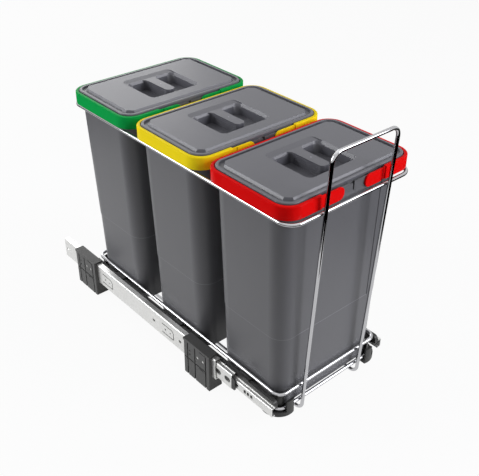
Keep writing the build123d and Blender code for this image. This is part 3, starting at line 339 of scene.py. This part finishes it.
def tube_mesh(name, path, radius, sides, closed):
    """Round wire along a path, joined to itself if closed and with flat ends if open."""
    shape = bmesh.new()
    rings = []
    count = len(path)
    side = None
    for i, point in enumerate(path):
        before = path[i - 1] if i or closed else point
        after = path[(i + 1) % count] if i + 1 < count or closed else point
        along = (after - before).normalized()
        if side is None:
            side = along.orthogonal().normalized()
        side = (side - along * side.dot(along)).normalized()
        up = along.cross(side)
        ring = []
        for step in range(sides):
            angle = 2 * pi * step / sides
            ring.append(shape.verts.new(point + (side * cos(angle) + up * sin(angle)) * radius))
        rings.append(ring)
    for i in range(count if closed else count - 1):
        first = rings[i]
        second = rings[(i + 1) % count]
        shift = best_shift(first, second) if closed and i + 1 == count else 0
        for step in range(sides):
            after = (step + 1) % sides
            a = second[(step + shift) % sides]
            b = second[(after + shift) % sides]
            shape.faces.new((first[step], first[after], b, a))
    if not closed:
        shape.faces.new(list(reversed(rings[0])))
        shape.faces.new(rings[-1])
    bmesh.ops.recalc_face_normals(shape, faces=shape.faces[:])
    mesh = bpy.data.meshes.new(name)
    shape.to_mesh(mesh)
    shape.free()
    return mesh


def best_shift(first, second):
    """How far to turn the second ring so that a closed tube meets itself straight."""
    count = len(first)
    gaps = []
    for shift in range(count):
        pairs = ((first[i].co, second[(i + shift) % count].co) for i in range(count))
        gaps.append(sum((start - end).length for start, end in pairs))
    return gaps.index(min(gaps))


def bend(corner, before, after, radius, steps):
    """Points of the round bend that replaces a corner between two straight runs."""
    toward = (before - corner).normalized()
    away = (after - corner).normalized()
    half = toward.angle(away) / 2
    centre = corner + (toward + away).normalized() * (radius / sin(half))
    start = corner + toward * (radius / tan(half))
    end = corner + away * (radius / tan(half))
    first = start - centre
    last = end - centre
    turn = first.angle(last)
    points = []
    for i in range(steps + 1):
        share = i / steps
        between = first * sin((1 - share) * turn) + last * sin(share * turn)
        points.append(centre + between / sin(turn))
    return points


def bent_path(corners, radii, steps, closed):
    """A path of straight runs joined by round bends."""
    count = len(corners)
    path = [] if closed else [corners[0]]
    inner = range(count) if closed else range(1, count - 1)
    for i, radius in zip(inner, radii):
        path += bend(corners[i], corners[i - 1], corners[(i + 1) % count], radius, steps)
    if not closed:
        path.append(corners[-1])
    return path


def ring_corners(node, radius):
    """Corners of a flat wire ring's centre line, from its node's box."""
    low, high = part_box(node)
    z = (low.z + high.z) / 2
    left, right = low.x + radius, high.x - radius
    front, rear = low.y + radius, high.y - radius
    plan = ((left, front), (right, front), (right, rear), (left, rear))
    return [Vector((x, y, z)) for x, y in plan]


def wire_beside(top_centre, base_centre, distance):
    """A leaning line that runs beside two ring wires; returns a function from z to y."""
    lean = (top_centre[0] - base_centre[0]) / (top_centre[1] - base_centre[1])
    offset = distance * sqrt(1 + lean**2)
    return lambda z: base_centre[0] + lean * (z - base_centre[1]) + offset


def ring_edge(node, radius, rear):
    """Centre of a ring wire's front or rear run, as y and z."""
    low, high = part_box(node)
    return (high.y - radius if rear else low.y + radius, (low.z + high.z) / 2)


def dress(names, finish):
    """Give CAD nodes their finish."""
    for name in names:
        node = NODES[name]
        node.data.materials.clear()
        node.data.materials.append(finish)


def soften(names, width):
    """Weld the nodes' split corners and round their sharp edges a little."""
    for name in names:
        node = NODES[name]
        weld = node.modifiers.new("weld", "WELD")
        weld.merge_threshold = WELD_DISTANCE
        bevel = node.modifiers.new("edge", "BEVEL")
        bevel.width = width
        bevel.segments = 2
        bevel.limit_method = "ANGLE"
        bevel.angle_limit = SHARP_ANGLE
        bevel.harden_normals = True


def finish_named(name):
    """A finish made earlier by the finishes operator."""
    found = bpy.data.materials.get(FINISH_PREFIX + name)
    if found is None:
        raise RuntimeError("The finish " + name + " isn't made yet")
    return found


# Settings

class BinFrameFinishes(bpy.types.PropertyGroup):
    bin_colour: FloatVectorProperty(
        name="Bin colour", description="Anthracite of the bins", subtype="COLOR",
        default=(0.13, 0.13, 0.137), min=0, max=1,
    )
    lid_colour: FloatVectorProperty(
        name="Lid colour", description="Grey of the lids", subtype="COLOR",
        default=(0.115, 0.115, 0.13), min=0, max=1,
    )
    bracket_colour: FloatVectorProperty(
        name="Bracket colour", description="Dark grey of the floor brackets", subtype="COLOR",
        default=(0.085, 0.085, 0.083), min=0, max=1,
    )
    clip_colour: FloatVectorProperty(
        name="Rail and clip colour", description="Black of rails, clips and buffers",
        subtype="COLOR", default=(0.035, 0.035, 0.034), min=0, max=1,
    )
    red: FloatVectorProperty(
        name="Front ring colour", description="Red of the front ring", subtype="COLOR",
        default=(0.78, 0.004, 0.004), min=0, max=1,
    )
    yellow: FloatVectorProperty(
        name="Middle ring colour", description="Yellow of the middle ring", subtype="COLOR",
        default=(1.0, 0.76, 0.012), min=0, max=1,
    )
    green: FloatVectorProperty(
        name="Rear ring colour", description="Green of the rear ring", subtype="COLOR",
        default=(0.005, 0.35, 0.068), min=0, max=1,
    )
    zinc: FloatVectorProperty(
        name="Slide colour", description="Zinc plating of the slides", subtype="COLOR",
        default=(0.73, 0.73, 0.715), min=0, max=1,
    )
    chrome: FloatVectorProperty(
        name="Wire colour", description="Chrome of the basket wires", subtype="COLOR",
        default=(0.48, 0.48, 0.495), min=0, max=1,
    )
    # Height of the painted highlight line that runs along the bins' crease
    crease_highlight_height: FloatProperty(
        name="Crease highlight height", description="Height of the painted highlight line along the bins' crease",
        unit="LENGTH", default=0.1461, min=0, max=1,
    )


class BinFrameWires(bpy.types.PropertyGroup):
    diameter: FloatProperty(
        name="Wire diameter", description="Thickness of the basket wire", unit="LENGTH",
        default=0.005, min=0.001, max=0.02,
    )
    weld_gap: FloatProperty(
        name="Weld gap", description="Space left between two wires that are welded",
        unit="LENGTH", default=0.00006, min=0, max=0.001,
    )
    top_bend: FloatProperty(
        name="Top ring bend", description="Centre-line radius of the top ring's corners",
        unit="LENGTH", default=0.0184, min=0.005, max=0.05,
    )
    base_bend: FloatProperty(
        name="Base ring bend", description="Centre-line radius of the base rings' corners",
        unit="LENGTH", default=0.012, min=0.005, max=0.05,
    )
    handle_bend: FloatProperty(
        name="Handle bend", description="Centre-line radius of the handle's upper bends",
        unit="LENGTH", default=0.013, min=0.005, max=0.05,
    )
    sides: IntProperty(
        name="Sides", description="Sides of the round wire", default=28, min=8, max=64,
    )
    bend_steps: IntProperty(
        name="Bend steps", description="Steps in each bend", default=16, min=4, max=48,
    )


class BinFrameStage(bpy.types.PropertyGroup):
    floor_white: FloatProperty(
        name="Floor white", description="Share of the floor that shines plain white",
        default=0.94, min=0, max=1,
    )
    ambient: FloatProperty(
        name="Ambient", description="Light that reaches the frame from all round",
        default=0.13, min=0,
    )
    left_power: FloatProperty(
        name="Left lamp", description="Power of the soft lamp behind on the left", unit="POWER",
        default=23.0, min=0,
    )
    right_power: FloatProperty(
        name="Right lamp", description="Power of the soft lamp in front on the right", unit="POWER",
        default=30.0, min=0,
    )
    top_power: FloatProperty(
        name="Top lamp", description="Power of the wide lamp overhead", unit="POWER",
        default=8.0, min=0,
    )
    back_power: FloatProperty(
        name="Back lamp", description="Power of the soft lamp behind", unit="POWER",
        default=12.0, min=0,
    )


class BinFrameView(bpy.types.PropertyGroup):
    place: FloatVectorProperty(
        name="Camera place", description="Where the camera stands",
        subtype="TRANSLATION", unit="LENGTH", default=(-0.5946, -0.73295, 0.7617),
    )
    turn: FloatProperty(
        name="Turn", description="Camera's turn to the right of the +Y direction",
        subtype="ANGLE", default=radians(41.25),
    )
    dip: FloatProperty(
        name="Dip", description="How far the camera looks down",
        subtype="ANGLE", default=radians(33.17),
    )
    roll: FloatProperty(
        name="Roll", description="Camera's roll about its view",
        subtype="ANGLE", default=radians(0.48),
    )
    focal_pixels: FloatProperty(
        name="Focal length in pixels",
        description="Focal length in pixels of the photograph's width",
        default=757.2, min=100, max=5000,
    )


# Stage

def emission(shader, colour, strength):
    """An emission node's output."""
    sockets = {"Color": colour, "Strength": strength}
    return shader.node("ShaderNodeEmission", {}, sockets).outputs[0]


def seen_directly(shader):
    """1 for rays from the camera or from a mirror or glass surface."""
    rays = shader.node("ShaderNodeLightPath").outputs
    camera = Field(shader, rays["Is Camera Ray"])
    return camera.at_least(rays["Is Glossy Ray"]).at_least(rays["Is Transmission Ray"])


def floor_finish(white_share):
    """Pale floor that stays white beside the object and keeps its shadow."""
    shader = Shader("studio_floor")
    speckle = shader.noise(scale=180.0)
    shader.set(Base_Color=shader.mix(speckle, FLOOR_DARK, FLOOR_PALE))
    shader.set(Roughness=0.9)
    glow = emission(shader, WHITE, 1.0)
    share = seen_directly(shader) * white_share
    sockets = {0: share, 1: shader.surface.outputs[0], 2: glow}
    mixed = shader.node("ShaderNodeMixShader", {}, sockets)
    shader.feed(shader.output.inputs["Surface"], mixed.outputs[0])
    return shader.material


def plate(name, low, high, z, finish):
    """A level stage plate between two corners."""
    mesh = bpy.data.meshes.new(name)
    left, front = low
    right, rear = high
    points = [(left, front, z), (right, front, z), (right, rear, z), (left, rear, z)]
    mesh.from_pydata(points, [], [(0, 1, 2, 3)])
    mesh.materials.append(finish)
    made = bpy.data.objects.new(name, mesh)
    bpy.context.scene.collection.objects.link(made)
    return made


def dark_card_finish():
    """Black studio card that metal mirrors."""
    shader = Shader("studio_card")
    shader.set(Base_Color=BLACK, Roughness=1.0, Specular_IOR_Level=0.0)
    return shader.material


def add_cards():
    """Black cards on the floor round the object, which only metal sees."""
    left_room, front_room, right_room, back_room = 0.34, 0.27, 0.2, 0.4
    left, front = CAD_LOW.x - left_room, CAD_LOW.y - front_room
    right, back = CAD_HIGH.x + right_room, CAD_HIGH.y + back_room
    far_left, far_front = left - CARD_REACH, front - CARD_REACH
    far_right, far_back = right + CARD_REACH, back + CARD_REACH
    finish = dark_card_finish()
    bands = {
        "card_left": ((far_left, far_front), (left, far_back)),
        "card_right": ((right, far_front), (far_right, far_back)),
        "card_front": ((left, far_front), (right, front)),
        "card_back": ((left, back), (right, far_back)),
    }
    for name, (start, end) in bands.items():
        card = plate(name, start, end, CARD_HEIGHT, finish)
        card.visible_camera = False
        card.visible_diffuse = False
        card.visible_shadow = False
        card.visible_transmission = False


def add_lamp(name, place, target, size, power, tint=(1.0, 1.0, 1.0)):
    """A rectangular soft lamp that points at a target."""
    data = bpy.data.lights.new(name, "AREA")
    data.shape = "RECTANGLE"
    data.size, data.size_y = size
    data.energy = power
    data.color = tint
    lamp = bpy.data.objects.new(name, data)
    bpy.context.scene.collection.objects.link(lamp)
    lamp.location = place
    lamp.rotation_mode = "QUATERNION"
    lamp.rotation_quaternion = (Vector(target) - Vector(place)).to_track_quat("-Z", "Y")


def white_world(ambient):
    """White to the camera and in mirrors, and a softer level for the light on the object."""
    world = bpy.data.worlds.new("studio")
    nodes = Nodes(world)
    soft = nodes.node("ShaderNodeBackground", {}, {"Color": WHITE, "Strength": ambient})
    white = nodes.node("ShaderNodeBackground", {}, {"Color": WHITE, "Strength": 1.0})
    sockets = {0: seen_directly(nodes), 1: soft.outputs[0], 2: white.outputs[0]}
    mixed = nodes.node("ShaderNodeMixShader", {}, sockets)
    nodes.node("ShaderNodeOutputWorld", {}, {"Surface": mixed.outputs[0]})
    bpy.context.scene.world = world


class BINFRAME_OT_camera(bpy.types.Operator):
    """Stand the camera where the photograph was taken"""
    bl_idname = "binframe.camera"
    bl_label = "Camera"

    def execute(self, context):
        view = context.scene.binframe_view
        ahead = cos(view.dip)
        forward = Vector((sin(view.turn) * ahead, cos(view.turn) * ahead, -sin(view.dip)))
        level = forward.cross(Vector((0, 0, 1))).normalized()
        upright = level.cross(forward)
        right = level * cos(view.roll) + upright * sin(view.roll)
        up = right.cross(forward)
        data = bpy.data.cameras.new("photo_camera")
        data.sensor_width = SENSOR_WIDTH
        data.lens = view.focal_pixels * SENSOR_WIDTH / PHOTO_WIDTH
        data.clip_start = 0.01
        data.clip_end = 50.0
        camera = bpy.data.objects.new("photo_camera", data)
        context.scene.collection.objects.link(camera)
        turned = Matrix((right, up, -forward)).transposed().to_4x4()
        camera.matrix_world = Matrix.Translation(Vector(view.place)) @ turned
        context.scene.camera = camera
        return {"FINISHED"}


class BINFRAME_OT_stage(bpy.types.Operator):
    """Lay the pale floor and set the soft studio lamps"""
    bl_idname = "binframe.stage"
    bl_label = "Stage"

    def execute(self, context):
        stage = context.scene.binframe_stage
        context.scene.view_settings.view_transform = "Standard"
        white_world(stage.ambient)
        low, high = (-FLOOR_HALF, -FLOOR_HALF), (FLOOR_HALF, FLOOR_HALF)
        plate("studio_floor", low, high, 0.0, floor_finish(stage.floor_white))
        add_cards()
        middle = (0.0, 0.0, 0.2)
        add_lamp(
            "lamp_above", place=(0.1, -0.1, 2.2), target=middle,
            size=(1.8, 2.2), power=stage.top_power,
        )
        add_lamp(
            "lamp_left", place=(-1.35, 1.05, 0.95), target=middle,
            size=(0.9, 0.9), power=stage.left_power, tint=(0.96, 0.97, 1.0),
        )
        add_lamp(
            "lamp_right", place=(0.9, -1.6, 1.0), target=middle,
            size=(1.0, 1.0), power=stage.right_power, tint=(0.93, 0.94, 1.0),
        )
        add_lamp(
            "lamp_back", place=(0.55, 2.1, 0.95), target=middle,
            size=(1.7, 1.0), power=stage.back_power,
        )
        return {"FINISHED"}


class BINFRAME_OT_finishes(bpy.types.Operator):
    """Make every finish of the frame"""
    bl_idname = "binframe.finishes"
    bl_label = "Finishes"

    def execute(self, context):
        colours = context.scene.binframe_finishes
        # The bins carry a painted highlight line along their crease
        moulded_plastic(
            "bin_plastic", colours.bin_colour, roughness=0.38, shine=0.32,
            grain_size=0.0007, grain_depth=0.00006, crease_highlight_z=colours.crease_highlight_height,
        )
        lid_plastic("lid_plastic", colours.lid_colour, roughness=0.36, shine=0.42)
        moulded_plastic(
            "bracket_plastic", colours.bracket_colour, roughness=0.5, shine=0.3,
            grain_size=0.0005, grain_depth=0.00006,
        )
        moulded_plastic(
            "black_plastic", colours.clip_colour, roughness=0.42, shine=0.3,
            grain_size=0.0005, grain_depth=0.00005,
        )
        ring_plastic("ring_red", colours.red)
        ring_plastic("ring_yellow", colours.yellow)
        ring_plastic("ring_green", colours.green)
        zinc_steel("slide_steel", colours.zinc)
        bright_chrome("chrome_wire", colours.chrome)
        polished_steel("bearing_steel", colours.chrome, roughness=0.12)
        polished_steel("cage_steel", colours.zinc, roughness=0.4)
        polished_steel("screw_steel", colours.zinc, roughness=0.3)
        return {"FINISHED"}


class BINFRAME_OT_wires(bpy.types.Operator):
    """Bend the basket's rings, handle and rear posts from smooth round wire"""
    bl_idname = "binframe.wires"
    bl_label = "Basket wires"

    def execute(self, context):
        wires = context.scene.binframe_wires
        radius = wires.diameter / 2
        finish = finish_named("chrome_wire")
        bends = {
            "top_ring": wires.top_bend,
            "upper_base_ring": wires.base_bend,
            "lower_base_ring": wires.base_bend,
        }
        for node, turn in bends.items():
            corners = ring_corners(node, radius)
            path = bent_path(corners, [turn] * len(corners), wires.bend_steps, closed=True)
            mesh = tube_mesh(node + "_wire", path, radius, wires.sides, closed=True)
            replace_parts(new_piece(node + "_wire", mesh, "basket", finish), node)
        beside = wires.diameter + wires.weld_gap
        low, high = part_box("handle_loop")
        top_edge = ring_edge("top_ring", radius, rear=False)
        base_edge = ring_edge("lower_base_ring", radius, rear=False)
        front = wire_beside(top_edge, base_edge, -beside)
        floor_z = low.z + radius
        top_z = high.z - radius
        x = high.x - radius
        corners = [
            Vector((-x, high.y, floor_z)), Vector((-x, front(floor_z), floor_z)),
            Vector((-x, front(top_z), top_z)), Vector((x, front(top_z), top_z)),
            Vector((x, front(floor_z), floor_z)), Vector((x, high.y, floor_z)),
        ]
        radii = [wires.base_bend, wires.handle_bend, wires.handle_bend, wires.base_bend]
        path = bent_path(corners, radii, wires.bend_steps, closed=False)
        mesh = tube_mesh("handle_wire", path, radius, wires.sides, closed=False)
        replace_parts(new_piece("handle_wire", mesh, "basket", finish), "handle_loop")
        top_edge = ring_edge("top_ring", radius, rear=True)
        base_edge = ring_edge("lower_base_ring", radius, rear=True)
        back = wire_beside(top_edge, base_edge, beside)
        for side in SIDES:
            low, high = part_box("rear_post_" + side)
            x = (low.x + high.x) / 2
            top_z = high.z
            corners = [
                Vector((x, low.y, floor_z)), Vector((x, back(floor_z), floor_z)),
                Vector((x, back(top_z), top_z)),
            ]
            path = bent_path(corners, [wires.base_bend], wires.bend_steps, closed=False)
            name = "rear_post_wire_" + side
            mesh = tube_mesh(name, path, radius, wires.sides, closed=False)
            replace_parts(new_piece(name, mesh, "basket", finish), "rear_post_" + side)
        return {"FINISHED"}


class BINFRAME_OT_slides(bpy.types.Operator):
    """Finish the slide members, cages, balls, buffers, pins and screws"""
    bl_idname = "binframe.slides"
    bl_label = "Slides"

    def execute(self, context):
        for side in SIDES:
            members = [name + "_member_" + side for name in ("outer", "mid", "inner")]
            dress(members, finish_named("slide_steel"))
            dress(["outer_balls_" + side, "inner_balls_" + side], finish_named("bearing_steel"))
            dress(["outer_cage_" + side, "inner_cage_" + side], finish_named("cage_steel"))
            dress(["slide_screws_" + side, "rail_pins_" + side], finish_named("screw_steel"))
            dress(["mid_buffer_" + side], finish_named("black_plastic"))
        return {"FINISHED"}


class BINFRAME_OT_brackets(bpy.types.Operator):
    """Finish the floor brackets"""
    bl_idname = "binframe.brackets"
    bl_label = "Brackets"

    def execute(self, context):
        for side in SIDES:
            names = ["bracket_front_" + side, "bracket_rear_" + side]
            dress(names, finish_named("bracket_plastic"))
            soften(names, BRACKET_EDGE)
        return {"FINISHED"}


class BINFRAME_OT_rails(bpy.types.Operator):
    """Finish the adapter rails and corner clips"""
    bl_idname = "binframe.rails"
    bl_label = "Rails and clips"

    def execute(self, context):
        for side in SIDES:
            clips = ["corner_clip_front_" + side, "corner_clip_rear_" + side]
            dress(["adapter_rail_" + side] + clips, finish_named("black_plastic"))
        return {"FINISHED"}


class BINFRAME_OT_bins(bpy.types.Operator):
    """Finish the bins, their colour rings and their lids"""
    bl_idname = "binframe.bins"
    bl_label = "Bins, rings and lids"

    def execute(self, context):
        for place, ring in zip(PLACES, ("ring_red", "ring_yellow", "ring_green")):
            dress(["bin_" + place], finish_named("bin_plastic"))
            dress(["lid_" + place], finish_named("lid_plastic"))
            dress(["clamp_ring_" + place], finish_named(ring))
            soften(["lid_" + place], LID_EDGE)
            soften(["clamp_ring_" + place], RING_EDGE)
        return {"FINISHED"}


OPERATORS = (
    BINFRAME_OT_camera, BINFRAME_OT_stage, BINFRAME_OT_finishes, BINFRAME_OT_wires,
    BINFRAME_OT_slides, BINFRAME_OT_brackets, BINFRAME_OT_rails, BINFRAME_OT_bins,
)
SETTINGS = (
    ("binframe_finishes", BinFrameFinishes),
    ("binframe_wires", BinFrameWires),
    ("binframe_stage", BinFrameStage),
    ("binframe_view", BinFrameView),
)


class BINFRAME_PT_panel(bpy.types.Panel):
    """Lists the steps that dress the bin frame"""
    bl_idname = "BINFRAME_PT_panel"
    bl_label = "Bin frame"
    bl_space_type = "VIEW_3D"
    bl_region_type = "UI"
    bl_category = "Bin frame"

    def draw(self, context):
        for operator in OPERATORS:
            self.layout.operator(operator.bl_idname)


def register():
    for name, group in SETTINGS:
        bpy.utils.register_class(group)
        setattr(bpy.types.Scene, name, PointerProperty(type=group))
    for operator in OPERATORS:
        bpy.utils.register_class(operator)
    bpy.utils.register_class(BINFRAME_PT_panel)


def unregister():
    bpy.utils.unregister_class(BINFRAME_PT_panel)
    for operator in reversed(OPERATORS):
        bpy.utils.unregister_class(operator)
    for name, group in reversed(SETTINGS):
        delattr(bpy.types.Scene, name)
        bpy.utils.unregister_class(group)


def main():
    register()
    for operator in OPERATORS:
        group, name = operator.bl_idname.split(".")
        getattr(getattr(bpy.ops, group), name)()


if __name__ == "__main__":
    main()
